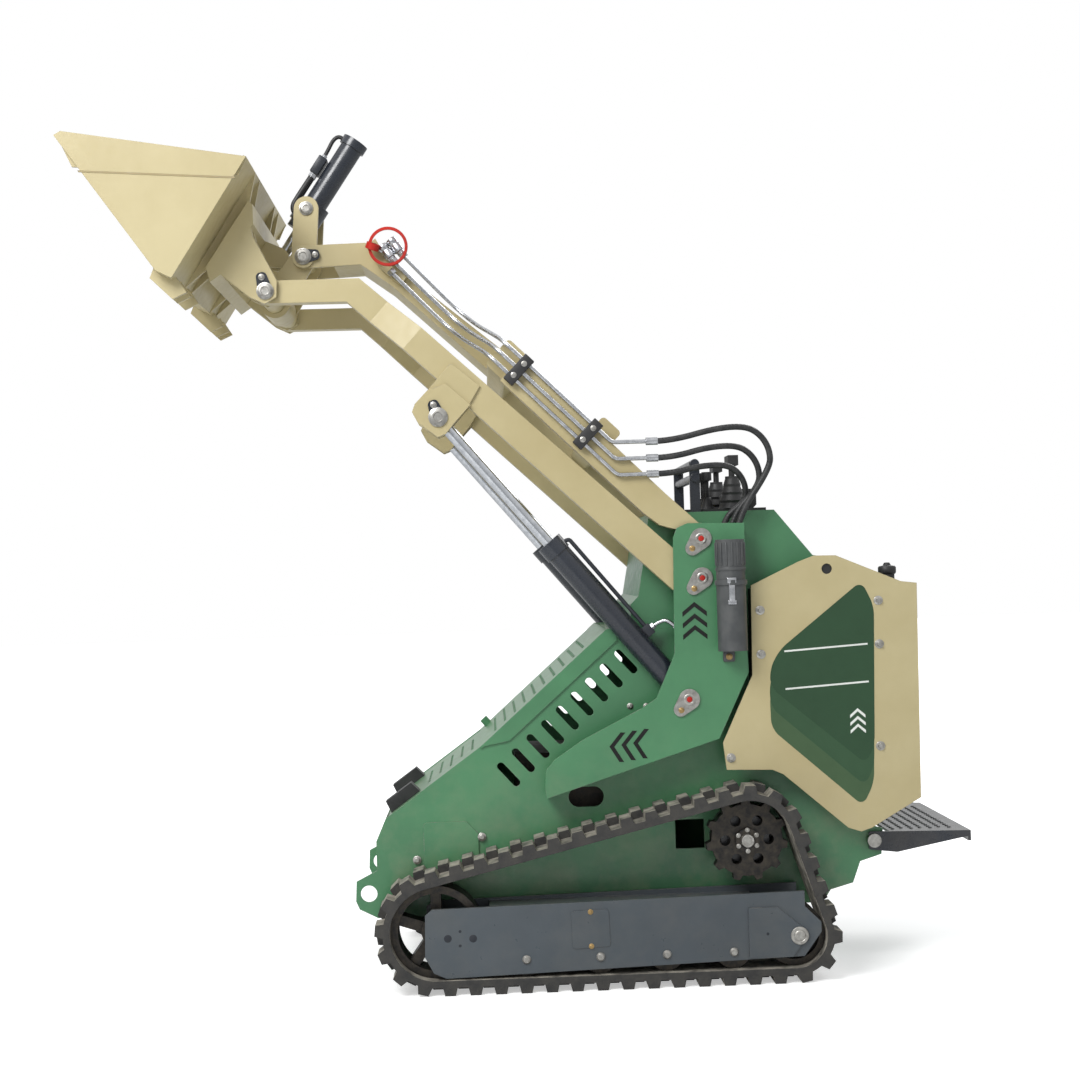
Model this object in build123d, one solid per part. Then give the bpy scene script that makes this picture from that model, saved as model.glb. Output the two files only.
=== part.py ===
from build123d import *
import math
import os

os.makedirs("parts", exist_ok=True)

# Stand-on compact track loader with a vertical-lift loader linkage, arms raised and bucket curled.
# Lengths are in millimetres. X runs to the rear, Y to the machine's right, Z up, the ground is Z 0.
# Points in the side view are (X, Z) pairs. Widths are distances left of the middle plane, and
# the right side mirrors the left.

# Plate and general widths
sheet = 8
thin_sheet = 5
hull_half = 312
arm_gap = 33
arm_width = 48
tower_gap = 7
keeper = 6
joggle = 64

# Loader pivots
link_pivot = (-153, 1258)
arm_pivot = (-153, 1145)
lift_base = (-201, 799)
arm_tip = (-1382, 2010)
link_tip = (-1291, 2145)
tilt_pivot = (-1280, 2294)
tilt_eye = (-1372, 2158)
lift_eye = (-894, 1627)
pin_radius = 20
pin_clearance = 0.3

# Arms, link and cylinders
arm_boss = 55
tip_boss = 33
link_boss = 45
link_depth = 87
beam_inner = 104
beam_plate = 12
torque_tube = 30
lever_inner = 84
lever_plate = 16
lever_hub = 45
lever_boss = 37
barrel_radius = 35
rod_radius = 18
lift_barrel_length = 602
lift_rod_length = 580
tilt_rod_radius = 16
tilt_barrel_back = 267
tilt_barrel_front = 60
tilt_rod_length = 400
eye_clearance = 2
lift_eye_width = 46
tilt_eye_width = 52
ear_plate = 16

# Hull, hood and console
floor_z = 190
hull_nose = -1112
nose_top = (-1082, 477)
tow_eye = (-1137, 261)
tow_eye_radius = 24
hood_front = (-804, 674)
hood_back = (-426, 1005)
hood_sheet = 6
skirt = 45
rear_wall = 250
hull_top = 1000
console_top = 1337
bumper_thickness = 34
side_slot = (87, 22)
side_slots = 9
side_slot_first = (-723, 592)
side_slot_last = (-372, 908)
side_slot_angle = -48
hood_slot = (46, 9)
hood_rows = 10
hood_columns = 7
nose_rows = 5

# Tracks
track_clearance = 10
track_width = 178
belt = 20
lug = 22
lug_pitch = 71.6
sprocket_center = (-51, 395)
sprocket_seat = 120
rear_idler = (70, 130)
rear_idler_radius = 88
front_idler = (-941, 172)
front_idler_radius = 130
roller_radius = 50
roller_z = 92
rollers_x = (-690, -482, -295, -106)
sprocket_teeth = 11

# Hoses
hose_radius = 9

# Bucket and attach plate
bucket_half = 530
bucket_sheet = 10
attach_half = 320
bucket_tip = (-1936, 2433)
bucket_heel = (-1665, 2049)
bucket_back_low = (-1621, 2026)
bucket_back_top = (-1404, 2361)

# Platform
platform_hinge = (333, 366)
platform_half = 325
platform_front = 386
platform_rear = 617
platform_top = 386

# Widths that follow from the ones above
arm_inner = hull_half + arm_gap
arm_outer = arm_inner + arm_width
front_inner = arm_inner - joggle
front_outer = arm_outer - joggle
tower_inner = arm_outer + tower_gap
tower_outer = tower_inner + sheet
track_inner = hull_half + track_clearance
track_outer = track_inner + track_width
cylinder_y = (hull_half + tower_inner) / 2
beam_outer = beam_inner + beam_plate
lever_outer = lever_inner + lever_plate


def side_face(points, radius=0):
    """A closed outline in the side view, with its corners rounded."""
    line = FilletPolyline(*points, radius=radius, close=True) if radius else Polyline(*points, close=True)
    return Plane.XZ * make_face(line)


def side_disc(center, radius):
    return Plane.XZ * (Pos(*center) * Circle(radius))


def beside(face, inner, outer):
    """A side-view outline made solid on the left, between two distances from the middle plane."""
    return extrude(Pos(0, -inner, 0) * face, amount=outer - inner, dir=(0, -1, 0))


def across(face, half):
    """A side-view outline made solid to the same distance on both sides of the middle plane."""
    return extrude(Pos(0, half, 0) * face, amount=2 * half, dir=(0, -1, 0))


def disc(center, radius, inner, outer):
    return beside(side_disc(center, radius), inner, outer)


def mirrored(part):
    return mirror(part, about=Plane.XZ)


def pair(part):
    return part + mirrored(part)


def direction(start, end):
    """Unit vector in the side view from one point to another."""
    length = math.dist(start, end)
    return ((end[0] - start[0]) / length, (end[1] - start[1]) / length)


def along(start, end, distance, aside=0):
    """A point on the line from start to end, moved to its left by aside."""
    d = direction(start, end)
    return (start[0] + d[0] * distance - d[1] * aside, start[1] + d[1] * distance + d[0] * aside)


def bar(start, end, radius, y, begin, finish):
    """A round bar on the line from start to end, between two distances from start."""
    d = direction(start, end)
    axis = Plane(origin=(start[0], -y, start[1]), x_dir=(0, 1, 0), z_dir=(d[0], 0, d[1]))
    return extrude(axis.offset(begin) * Circle(radius), amount=finish - begin)


def tapered(start, start_radius, end, end_radius):
    """The outline round two circles, as a flat link has."""
    ends = Pos(*start) * Circle(start_radius) + Pos(*end) * Circle(end_radius)
    return Plane.XZ * make_hull(ends.edges())


# Hull and fixed body

def make_hull_sides():
    """Hull side plates with tow ears, air slots and bolted hatches."""
    under = along(hood_front, hood_back, 0, -hood_sheet)
    under_back = (along(hood_front, hood_back, math.dist(hood_front, hood_back), -hood_sheet)[0], hull_top)
    outline = side_face([
        nose_top, hood_front, under, under_back, (rear_wall, hull_top), (rear_wall, 430),
        (362, 399), (356, 324), (293, 305), (270, 244), (204, 226), (180, floor_z),
        (hull_nose, floor_z), (-1165, 217), (-1175, 240), (-1172, 297), (hull_nose, 327),
        (hull_nose, 411),
    ])
    side = beside(outline, hull_half - sheet, hull_half)
    side -= disc(tow_eye, tow_eye_radius, 0, hull_half + 1)
    cut = SlotOverall(*side_slot)
    pitch = math.dist(side_slot_first, side_slot_last) / (side_slots - 1)
    for index in range(side_slots):
        place = Pos(*along(side_slot_first, side_slot_last, index * pitch)) * Rot(0, 0, side_slot_angle)
        side -= beside(Plane.XZ * (place * cut), 0, hull_half + 1)
    side -= beside(Plane.XZ * (Pos(-500, 520) * SlotOverall(102, 58)), 0, hull_half + 1)
    side -= beside(Plane.XZ * (Pos(-202, 402) * Rectangle(84, 84)), 0, hull_half + 1)
    hatch = side_face([(-974, 322), (-816, 322), (-816, 425), (-850, 461), (-974, 461)], 12)
    return pair(side + beside(hatch, hull_half, hull_half + 6))


def make_hull_floor():
    """Belly plate, bent up at the rear."""
    s = sheet
    floor = side_face([
        (hull_nose, floor_z), (180, floor_z), (204, 226), (rear_wall, 240), (rear_wall, 240 + s),
        (204 - s / 2, 226 + s), (180 - s / 2, floor_z + s), (hull_nose, floor_z + s),
    ])
    return across(floor, hull_half - sheet)


def make_hull_ends():
    """Front plate, bent back to the nose, and the rear wall."""
    s = sheet
    front = side_face([
        (hull_nose, floor_z + s), (hull_nose + s, floor_z + s), (hull_nose + s, 409),
        (nose_top[0] + 7, nose_top[1] - 4), nose_top, (hull_nose, 411),
    ])
    rear = side_face([
        (rear_wall - s, 240 + s), (rear_wall, 240 + s), (rear_wall, hull_top), (rear_wall - s, hull_top),
    ])
    return across(front, hull_half - sheet) + across(rear, hull_half - sheet)


def grille(start, end, first, rows, columns, pitch):
    """Staggered rows of short slots, as a cutter square to a sloping sheet."""
    d = direction(start, end)
    sheet_plane = Plane(origin=(start[0], 0, start[1]), x_dir=(d[0], 0, d[1]), z_dir=(-d[1], 0, d[0]))
    slots = Sketch()
    for row in range(rows):
        stagger = 15 if row % 2 else -15
        slots += Pos(first + row * pitch, stagger) * GridLocations(1, 66, 1, columns) * Rectangle(hood_slot[1], hood_slot[0])
    return extrude(sheet_plane * slots, amount=40, both=True)


def make_nose_panel():
    """Sloping sheet between the side plates below the hood, with rows of air slots."""
    length = math.dist(nose_top, hood_front)
    panel = side_face([
        along(nose_top, hood_front, 6, -2), along(nose_top, hood_front, length, -2),
        along(nose_top, hood_front, length - 4, -8), along(nose_top, hood_front, 6, -8),
    ])
    return across(panel, hull_half - sheet) - grille(nose_top, hood_front, 150, nose_rows, 5, 40)


def make_bumpers():
    """Two rubber blocks on the nose panel."""
    block = side_face([
        along(nose_top, hood_front, 20, bumper_thickness), along(nose_top, hood_front, 112, bumper_thickness),
        along(nose_top, hood_front, 118, -2), along(nose_top, hood_front, 14, -2),
    ])
    return pair(beside(block, 186, 236))


def make_hood():
    """Folded hood sheet with skirts down both sides."""
    half = hull_half + 1 + thin_sheet
    length = math.dist(hood_front, hood_back)
    plate = side_face([
        hood_front, hood_back, (-354, hood_back[1]), (-354, hull_top),
        (along(hood_front, hood_back, length, -hood_sheet)[0], hull_top), along(hood_front, hood_back, 0, -hood_sheet),
    ])
    skirt_face = side_face([
        hood_front, hood_back, (-401, hood_back[1]), along(hood_front, hood_back, length, -skirt),
        along(hood_front, hood_back, 75, -skirt),
    ])
    sides = beside(skirt_face, half - thin_sheet, half)
    slots = grille(hood_front, hood_back, 62, hood_rows, hood_columns, 39.5)
    latch = bar(along(hood_front, hood_back, 34), along(hood_front, hood_back, 34, 24), 13, 90 - half, 0, 24)
    return across(plate, half) + pair(sides) - slots + latch


def make_engine():
    block = Pos(-490, 0, 450) * Box(420, 400, 380)
    feet = [Pos(x, y, (260 + floor_z + sheet) / 2) * Box(60, 60, 260 - floor_z - sheet)
            for x in (-640, -340) for y in (-150, 150)]
    return block + feet


def make_console():
    """Closed control tower between the loader towers, on top of the hull."""
    outer = [
        (-354, hull_top), (-354, 1073), (-331, 1096), (-312, 1196), (-293, 1329), (-281, console_top),
        (74, console_top), (183, 1201), (rear_wall, 1190), (rear_wall, hull_top),
    ]
    inner = [
        (-348, hull_top + 6), (-348, 1070), (-325, 1093), (-306, 1196), (-287, 1326), (-279, console_top - 6),
        (71, console_top - 6), (180, 1195), (rear_wall - 6, 1184), (rear_wall - 6, hull_top + 6),
    ]
    return across(side_face(outer), hull_half) - across(side_face(inner), hull_half - 6)


def bellows(x, y, base, bottom, top, height, folds):
    """A rubber boot with its folds, turned about the lever."""
    step = height / folds
    line = [(0, 0)]
    for index in range(folds):
        radius = bottom + (top - bottom) * index / folds
        line += [(radius, index * step), (radius * 0.78, (index + 0.7) * step)]
    line += [(top, height), (0, height)]
    return Pos(x, y, base) * revolve(Plane.XZ * make_face(Polyline(*line, close=True)), Axis.Z)


def make_control_deck():
    """Control plate on the console with its folded boots, levers and instrument box."""
    top = console_top + 10
    deck = Pos(-80, 0, console_top + 5) * Box(290, 440, 10)
    for y in (-190, 190):
        deck += bellows(-30, y, top, 44, 20, 96, 4)
        deck += Pos(-30, y, top + 108) * Cylinder(9, 40)
        deck += Pos(-30, y, top + 142) * Box(30, 90, 30)
    for y in (-60, 0, 60):
        deck += bellows(-90, y, top, 22, 10, 40, 2)
        deck += Pos(-90, y, top + 66) * Cylinder(6, 60)
        deck += Pos(-90, y, top + 104) * Cylinder(15, 26)
    box = Pos(10, 0, top + 30) * Box(80, 260, 60)
    return deck + chamfer(box.edges().filter_by(Axis.Y), 12)


def make_grab_bars():
    """Two hand bars on posts across the console."""
    posts = [Pos(x, y, console_top + 75) * Box(30, 12, 150) for x in (-146,) for y in (-230, 230)]
    bars = [Pos(-146, 0, z) * Rot(90, 0, 0) * Cylinder(13, 500) for z in (1440, 1482)]
    return posts[0] + posts[1] + bars


def make_knee_pad():
    pad = Pos(rear_wall + 20, 0, 850) * Box(40, 420, 300)
    return fillet(pad.edges().filter_by(Axis.X), 30)


def make_tower():
    """Left loader tower: outer plate carried from the hull by a rear web and a lower web."""
    plate = side_face([
        (-233, 1262), (-239, 932), (-250, 905), (-295, 805), (-334, 780), (-510, 693), (-592, 639),
        (-617, 610), (-621, 559), (-617, 529), (-118, 684), (-28, 871), (-31, 963), (-28, 1192),
        (-27, 1299), (-190, 1303), (-222, 1290),
    ])
    tower = beside(plate, tower_inner, tower_outer)
    web = side_face([
        (-617, 529), (-118, 684), (-28, 871), (-31, 963), (-28, 1192), (-27, 1295), (-35, 1295),
        (-36, 1192), (-39, 963), (-36.5, 873), (-123, 692), (-617, 538),
    ])
    tower += beside(web, hull_half, tower_inner)
    return tower - beside(side_disc((-10 - 40, 1231), 9), tower_inner - 1, tower_outer + 1)


def make_tower_pins():
    """Fixed pins of link, arm and lift cylinder, with a keeper plate on each head."""
    pins = Part()
    for point in (link_pivot, arm_pivot, lift_base):
        pins += disc(point, pin_radius, hull_half, tower_inner)
        tab = tapered(point, 30, (point[0] - 26, point[1] - 28), 20)
        pins += beside(tab, tower_outer, tower_outer + keeper)
    return pair(pins)


def make_side_panel():
    """Cover plate behind the tower, with its window slot."""
    plate = side_face([
        (-14, 1119), (125, 1183), (170, 1199), (232, 1198), (418, 1118), (464, 1112), (456, 497),
        (424, 479), (312, 415), (281, 405), (244, 417), (62, 576), (31, 590), (-100, 594),
        (-108, 672), (-18, 862),
    ])
    slot = side_disc((206, 1160), 15)
    panel = beside(plate, tower_outer - 6, tower_outer)
    return panel - beside(slot, tower_inner - 9, tower_outer + 1)


def make_side_tank():
    """Tank wing between hull and side panel, beside the operator."""
    body = side_face([
        (-18, 700), (60, 670), (430, 670), (450, 700), (450, 1100), (418, 1106), (232, 1186),
        (170, 1188), (-10, 1108),
    ])
    return beside(body, hull_half, tower_outer - 6)


def make_canister():
    """Upright canister with a clamped lid on the left tower."""
    x = -77
    y = tower_outer + 47
    body = Pos(x, -y, 1033) * Cylinder(42, 194)
    body += Pos(x, -(tower_outer + 12), 1033) * Box(50, 24, 150)
    lid = Pos(x, -y, 1191) * Cylinder(41, 122)
    rim = Pos(x, -y, 1130) * Cylinder(46, 14)
    return body + lid + rim


def make_drive_motors():
    """Drive motor flange and hub outside each hull side."""
    hub = disc(sprocket_center, 95, hull_half, hull_half + 32) + disc(sprocket_center, 70, hull_half, hull_half + 72)
    return pair(hub)


# Undercarriage

def make_sprockets():
    """Toothed drive wheels, bolted to the drive hubs."""
    wheel = Circle(sprocket_seat - 18)
    step = 360 / sprocket_teeth
    tooth = make_face(Polyline((-17, 92), (-9, sprocket_seat - 3), (9, sprocket_seat - 3), (17, 92), close=True))
    for index in range(sprocket_teeth):
        wheel += Rot(0, 0, index * step) * tooth
    wheel -= PolarLocations(62, 6) * Circle(15)
    wheel = Plane.XZ * (Pos(*sprocket_center) * wheel)
    body = beside(wheel, hull_half + 72, hull_half + 112)
    body += disc(sprocket_center, 34, hull_half + 72, hull_half + 126)
    return pair(body)


def track_line():
    """The line of the belt's inner face around its wheels."""
    wheels = Pos(*sprocket_center) * Circle(sprocket_seat)
    wheels += Pos(*rear_idler) * Circle(rear_idler_radius)
    wheels += Pos(*front_idler) * Circle(front_idler_radius)
    return make_hull(wheels.edges())


def make_track():
    """Rubber belt with its drive lugs in two staggered halves."""
    inside = track_line()
    outside = offset(inside, belt)
    wire = outside.faces()[0].outer_wire()
    count = round(wire.length / lug_pitch)
    middle = (track_inner + track_outer) / 2
    track = beside(Plane.XZ * (outside - inside), track_inner, track_outer)
    root = make_face(Polyline((-21, -3), (-15, lug), (15, lug), (21, -3), close=True))
    for inner, outer, shift in ((track_inner, middle, 0), (middle, track_outer, 0.5)):
        blocks = Sketch()
        for index in range(count):
            t = (index + shift) / count
            point = wire @ t
            tangent = wire % t
            turn = math.degrees(math.atan2(tangent.Y, tangent.X))
            blocks += Pos(point.X, point.Y) * Rot(0, 0, turn + 180 * (lug_side(wire) < 0)) * root
        track += beside(Plane.XZ * blocks, inner, outer)
    return track


def lug_side(wire):
    """1 when the left of the wire's direction is outside the loop, and -1 when it is inside."""
    point = wire @ 0.1
    tangent = wire % 0.1
    center = wire.center()
    return 1 if tangent.X * (center.Y - point.Y) - tangent.Y * (center.X - point.X) < 0 else -1


def make_track_frame():
    """Roller frame inside the loop: a box beam with a cheek plate down each side of the rollers."""
    cheek = side_face([
        (-971, 224), (-974, 107), (-950, 62), (-915, 46), (93, 73), (143, 140), (143, 168), (98, 213),
        (98, 256), (-951, 240),
    ])
    outer = beside(cheek, track_outer - 22, track_outer - 10)
    inner = beside(cheek, track_inner + 10, track_inner + 22)
    top = side_face([(-790, 160), (-40, 160), (-40, 236), (-790, 236)])
    beam = beside(top, track_inner + 22, track_outer - 22)
    arrow = side_face([(-63, 214), (20, 214), (107, 140), (60, 73), (-63, 73)])
    frame = outer + inner + beam + beside(arrow, track_outer - 10, track_outer - 4)
    for x in (-700, -240):
        frame += disc((x, 200), 36, hull_half, track_inner + 10)
    return frame


def make_rollers():
    """Four double-flanged bottom rollers on shafts on each side."""
    left = Part()
    for x in rollers_x:
        center = (x, roller_z)
        left += disc(center, roller_radius, track_inner + 30, track_inner + 70)
        left += disc(center, roller_radius, track_outer - 70, track_outer - 30)
        left += disc(center, 26, track_inner + 22, track_outer - 22)
    return pair(left)


def make_front_idlers():
    """Spoked front idlers."""
    inner, outer = track_inner + 40, track_outer - 40
    rim = disc(front_idler, front_idler_radius - 0.5, inner, outer)
    rim -= disc(front_idler, front_idler_radius - 22, inner - 1, outer + 1)
    wheel = rim + disc(front_idler, 42, inner, outer) + disc(front_idler, 24, track_inner + 22, track_outer - 22)
    for index in range(5):
        spoke = Pos(*front_idler) * (Rot(0, 0, index * 72 + 18) * (Pos(74, 0) * Rectangle(76, 30)))
        wheel += beside(Plane.XZ * spoke, inner + 18, outer - 18)
    return pair(wheel)


def make_rear_idlers():
    inner, outer = track_inner + 40, track_outer - 40
    wheel = disc(rear_idler, rear_idler_radius - 0.5, inner, outer)
    wheel -= disc(rear_idler, rear_idler_radius - 18, outer - 22, outer + 1)
    wheel += disc(rear_idler, 24, track_inner + 22, track_outer - 22)
    return pair(wheel)


# Loader linkage

def arm_outline():
    body = side_face([
        (-1382, 2043), (-1112, 2043), (-936, 1888), (-200, 1203), (-153, 1190), (-120, 1140),
        (-175, 1094), (-236, 1113), (-334, 1206), (-985, 1824), (-1150, 1976), (-1382, 1977),
    ])
    return body + side_disc(arm_pivot, arm_boss) + side_disc(arm_tip, tip_boss)


def make_arm():
    """Left lift arm: it steps inwards past the hull, and carries the lift cylinder's bracket."""
    slope = Plane(origin=(arm_tip[0], 0, arm_tip[1]), x_dir=(0.7355, 0, -0.6774), z_dir=(0.6774, 0, 0.7355))
    plan = make_face(Polyline(
        (-200, -front_outer), (283, -front_outer), (413, -arm_outer), (1700, -arm_outer),
        (1700, -arm_inner), (413, -arm_inner), (283, -front_inner), (-200, -front_inner), close=True))
    envelope = extrude(slope * plan, amount=700, both=True)
    arm = across(arm_outline(), arm_outer + 1) & envelope
    arm -= disc(arm_pivot, pin_radius + pin_clearance, 0, tower_outer)
    arm += disc(arm_tip, pin_radius - 2, front_outer, front_outer + 23)
    bracket = [
        (-850, 1779), (-772, 1714), (-809, 1653), (-849, 1608), (-873, 1579), (-896, 1570), (-951, 1611),
        (-968, 1644), (-959, 1667), (-922, 1705), (-895, 1736), (-857, 1778),
    ]
    eye_half = lift_eye_width / 2 + eye_clearance
    low = [(-922, 1705), (-869, 1722), (-800, 1660), (-849, 1608), (-873, 1579), (-896, 1570), (-951, 1611), (-968, 1644), (-959, 1667)]
    arm += beside(side_face(bracket), arm_outer, arm_outer + sheet)
    arm += beside(side_face(low), arm_outer + sheet, arm_outer + 2 * sheet)
    arm += disc(lift_eye, 30, cylinder_y + eye_half, arm_outer)
    arm += disc(lift_eye, 24, arm_outer + 2 * sheet, arm_outer + 2 * sheet + keeper)
    arm += beside(side_face(bracket), cylinder_y - eye_half - sheet, cylinder_y - eye_half)
    pad = [(-850, 1779), (-772, 1714), (-800, 1680), (-880, 1752)]
    arm += beside(side_face(pad), cylinder_y - eye_half, arm_inner)
    return arm


def make_torque_tube():
    tube = side_disc(arm_tip, torque_tube)
    return across(tube, front_inner)


def link_edge():
    """Lower edge of the link's side members, from the front to the pivot."""
    return [(-752, 1769), (-491, 1509), (-314, 1336), (-268, 1298), (-228, 1276), (-185, 1226)]


def make_link_members():
    """Side members of the upper link, above the arms."""
    body = side_face([
        (-714, 1729), (-491, 1509), (-314, 1336), (-268, 1300), (-228, 1288), (-190, 1282), (-140, 1270),
        (-156, 1303), (-250, 1391), (-430, 1571), (-652, 1791),
    ])
    body += side_disc(link_pivot, link_boss)
    member = beside(body, arm_inner, arm_outer)
    return pair(member - disc(link_pivot, pin_radius + pin_clearance, 0, tower_outer))


def cross_box(center):
    """A box section from member to member, square to the link."""
    d = direction((-752, 1769), (-314, 1336))
    plane = Plane(origin=(center[0], 0, center[1]), x_dir=(d[0], 0, d[1]), z_dir=(0, -1, 0))
    shape = fillet(Rectangle(72, 100).vertices(), 12)
    return extrude(plane * shape, amount=arm_inner, both=True)


def make_link_front():
    """Narrow front beam of the link, open on top over the tilt cylinder, on its cross box."""
    web = side_face([
        (-1290, 2111), (-1120, 2118), (-1029, 2052), (-715, 1760), (-690, 1838), (-1104, 2183), (-1291, 2179),
    ])
    cheek = beside(web + side_disc(link_tip, 34), beam_inner, beam_outer)
    cheek += disc(link_tip, 34, beam_outer, beam_outer + 8)
    bottom = side_face([(-1200, 2114), (-1120, 2118), (-1029, 2052), (-715, 1760), (-710, 1770), (-1024, 2062), (-1116, 2128), (-1200, 2124)])
    lid = side_face([(-930, 2038), (-690, 1838), (-694, 1832), (-936, 2033)])
    front = pair(cheek) + across(bottom, beam_inner) + across(lid, beam_inner)
    return front + cross_box((-694, 1793))


def make_link_tubes():
    """Three hydraulic tubes along the left side of the link, with their fittings."""
    tubes = Part()
    y = arm_outer + 12
    front = along((-752, 1769), (-314, 1336), 0)
    for index, z in enumerate((1541, 1493, 1447)):
        rise = (2 - index) * 29 + 28
        start = along((-752, 1769), (-314, 1336), 20, rise)
        bend = along((-752, 1769), (-314, 1336), 360 + 70 * index * 0, rise)
        d = direction((-752, 1769), (-314, 1336))
        travel = (z - start[1]) / d[1]
        turn = (start[0] + d[0] * travel, z)
        line = FilletPolyline(
            (start[0], -y, start[1]), (turn[0], -y, turn[1]), (-300, -y, z), radius=30)
        tubes += sweep(Plane(origin=line @ 0, z_dir=line % 0) * Circle(6), path=line)
        tubes += Pos(-285, -y, z) * Rot(0, 90, 0) * Cylinder(11, 34)
    for distance in (60, 330):
        block = side_face([
            along((-752, 1769), (-314, 1336), distance, 14), along((-752, 1769), (-314, 1336), distance + 30, 14),
            along((-752, 1769), (-314, 1336), distance + 30, 98), along((-752, 1769), (-314, 1336), distance, 98),
        ])
        tubes += beside(block, arm_outer, arm_outer + 24)
    return tubes


def make_coupler_block():
    """Coupler bracket on the left of the link's front beam."""
    plate = side_face([(-1072, 2190), (-1100, 2168), (-1060, 2100), (-1001, 2050), (-975, 2078), (-1040, 2130)])
    block = beside(plate, beam_outer, beam_outer + 30)
    return block


def make_lever():
    """Tilt lever: two plates on the cross tube's hub, tied by the link pin."""
    plate = tapered(tilt_pivot, lever_boss, link_tip, lever_boss) + tapered(link_tip, lever_boss, arm_tip, lever_hub)
    cheek = beside(plate, lever_inner, lever_outer)
    lever = pair(cheek) + across(side_disc(arm_tip, lever_hub), lever_outer)
    lever += across(side_disc(link_tip, pin_radius), lever_inner)
    lever -= across(side_disc(arm_tip, torque_tube + pin_clearance), lever_outer + 1)
    return lever - across(side_disc(tilt_pivot, pin_radius - 2), lever_outer + 1)


def make_tilt_barrel():
    """Tilt cylinder barrel with the trunnion that swings in the lever."""
    barrel = bar(tilt_pivot, tilt_eye, barrel_radius, 0, -tilt_barrel_back, tilt_barrel_front)
    barrel += bar(tilt_pivot, tilt_eye, barrel_radius + 6, 0, -tilt_barrel_back, -tilt_barrel_back + 26)
    barrel += bar(tilt_pivot, tilt_eye, barrel_radius + 5, 0, tilt_barrel_front - 30, tilt_barrel_front)
    block = bar(tilt_pivot, tilt_eye, barrel_radius + 12, 0, -36, 36)
    barrel += block
    barrel += across(side_disc(tilt_pivot, 34), lever_inner - 4)
    barrel += across(side_disc(tilt_pivot, pin_radius - 2 - pin_clearance), lever_outer)
    return barrel - bar(tilt_pivot, tilt_eye, tilt_rod_radius + 0.5, 0, -tilt_barrel_back + 12, tilt_barrel_front + 1)


def make_tilt_rod():
    reach = math.dist(tilt_pivot, tilt_eye)
    rod = bar(tilt_pivot, tilt_eye, tilt_rod_radius, 0, reach - tilt_rod_length, reach - 10)
    return rod + across(side_disc(tilt_eye, 28), tilt_eye_width / 2)


def make_lift_barrel():
    """Left lift cylinder barrel on its base pin."""
    barrel = bar(lift_base, lift_eye, barrel_radius, cylinder_y, 34, lift_barrel_length)
    barrel += bar(lift_base, lift_eye, barrel_radius + 4, cylinder_y, lift_barrel_length - 44, lift_barrel_length)
    barrel += disc(lift_base, 42, cylinder_y - 30, cylinder_y + 30)
    barrel -= bar(lift_base, lift_eye, rod_radius + 0.5, cylinder_y, 66, lift_barrel_length + 1)
    return barrel - disc(lift_base, pin_radius + pin_clearance, hull_half, tower_inner)


def make_lift_rod():
    reach = math.dist(lift_base, lift_eye)
    rod = bar(lift_base, lift_eye, rod_radius, cylinder_y, reach - lift_rod_length, reach - 10)
    return rod + disc(lift_eye, 36, cylinder_y - lift_eye_width / 2, cylinder_y + lift_eye_width / 2)


# Bucket and attach plate

def make_attach_plate():
    """Quick-attach plate with its four pivot ears and two cylinder ears."""
    plate = side_face([
        (-1551, 2084), (-1424, 2272), (-1411, 2262), (-1411, 2205), (-1508, 2061), (-1540, 2040),
    ])
    plate = across(plate, attach_half)
    ear = side_face([
        (-1420, 2200), (-1412, 2166), (-1348, 2040), (-1350, 1992), (-1384, 1973), (-1428, 1994),
        (-1505, 2058), (-1512, 2072),
    ])
    pivot = beside(ear, 261, 277) - disc(arm_tip, torque_tube + pin_clearance, 0, 280)
    ears = pivot + (beside(ear, 333, 349) - disc(arm_tip, pin_radius - 2 + pin_clearance, 320, 360))
    bridge = side_face([(-1551, 2084), (-1424, 2272), (-1411, 2262), (-1411, 2205), (-1508, 2061), (-1540, 2040)])
    ears += beside(bridge, attach_half, 349)
    tilt_ear = tapered(tilt_eye, 30, (-1452, 2178), 44)
    inner = tilt_eye_width / 2 + eye_clearance
    ears += beside(tilt_ear, inner, inner + ear_plate)
    return plate + pair(ears)


def make_bucket():
    """Low dirt bucket: bent floor and back sheet between two side plates."""
    length = math.dist(bucket_tip, bucket_heel)
    back = math.dist(bucket_back_low, bucket_back_top)
    outer = [bucket_tip, bucket_heel, bucket_back_low, bucket_back_top]
    inner = [
        along(bucket_back_low, bucket_back_top, back, bucket_sheet),
        along(bucket_back_low, bucket_back_top, bucket_sheet, bucket_sheet),
        along(bucket_tip, bucket_heel, length, bucket_sheet),
        along(bucket_tip, bucket_heel, 20, bucket_sheet),
    ]
    bucket = across(side_face(outer + inner), bucket_half - bucket_sheet)
    cheek = side_face([bucket_tip, bucket_heel, bucket_back_low, bucket_back_top, (-1917, 2444)])
    side = beside(cheek, bucket_half - bucket_sheet, bucket_half)
    band = side_face([(-1917, 2444), bucket_back_top, (-1427, 2311), (-1889, 2345), (-1930, 2436)])
    side += beside(band, bucket_half - bucket_sheet - 8, bucket_half - bucket_sheet)
    gusset = side_face([
        along(bucket_heel, bucket_tip, 20), bucket_heel, bucket_back_low, along(bucket_back_low, bucket_back_top, 12),
        (bucket_back_low[0] + 34, bucket_back_low[1] - 34), (bucket_back_low[0] - 6, bucket_back_low[1] - 52),
        (bucket_heel[0] - 24, bucket_heel[1] - 14),
    ])
    side += beside(gusset, bucket_half - 60, bucket_half - 48) + beside(gusset, 250, 262) + beside(gusset, 386, 398)
    rib = side_face([(-1551, 2084), (-1424, 2272), bucket_back_top, bucket_back_low])
    ribs = beside(rib, 190, 206) + beside(rib, 300, 316)
    return bucket + pair(side) + pair(ribs)


# Platform

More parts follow.
